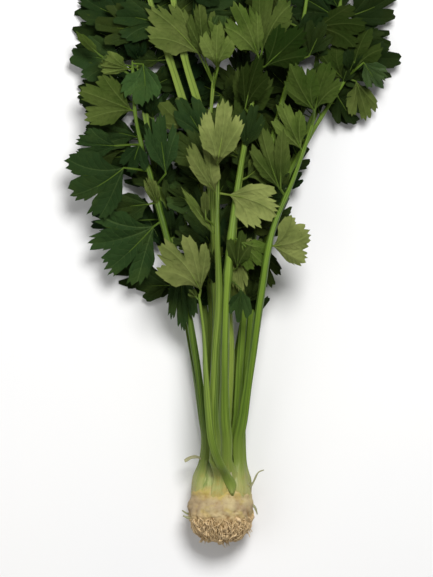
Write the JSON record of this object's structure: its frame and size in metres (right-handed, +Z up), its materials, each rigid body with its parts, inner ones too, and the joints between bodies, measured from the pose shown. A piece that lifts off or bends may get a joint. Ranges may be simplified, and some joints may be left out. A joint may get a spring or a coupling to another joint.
{
  "type": "leafy celeriac",
  "caption": "Young leafy celeriac lying on its side: a round rooted bulb whose ribbed stalks fan out into toothed, lobed leaflets.",
  "frame": {"origin": "middle of the outline seen from above, on the surface that the plant lies on", "axes": "+Y from the roots to the leaf tips, +Z up from the surface, +X to the right seen from above"},
  "size_m": [0.3426, 0.665, 0.1113],
  "materials": {
    "bulb_skin": "matte earthy skin, cream to tan, with tan roots and a green shoulder",
    "leaf": "satin dark green upper sides, matte paler undersides, light green ribbed stalks"
  },
  "bodies": {
    "root": {"bulb": "bulb_skin", "frond_under_middle": "leaf", "frond_under_left": "leaf", "frond_under_right": "leaf", "frond_low_left": "leaf", "frond_low_right": "leaf", "frond_inner_low": "leaf", "frond_inner_left": "leaf", "frond_right": "leaf", "frond_inner_right": "leaf", "frond_inner_top": "leaf", "frond_inner_pale": "leaf", "frond_left": "leaf", "frond_top_right": "leaf", "frond_far_right": "leaf", "frond_top_middle": "leaf", "frond_small_front": "leaf"}
  },
  "joints": []
}
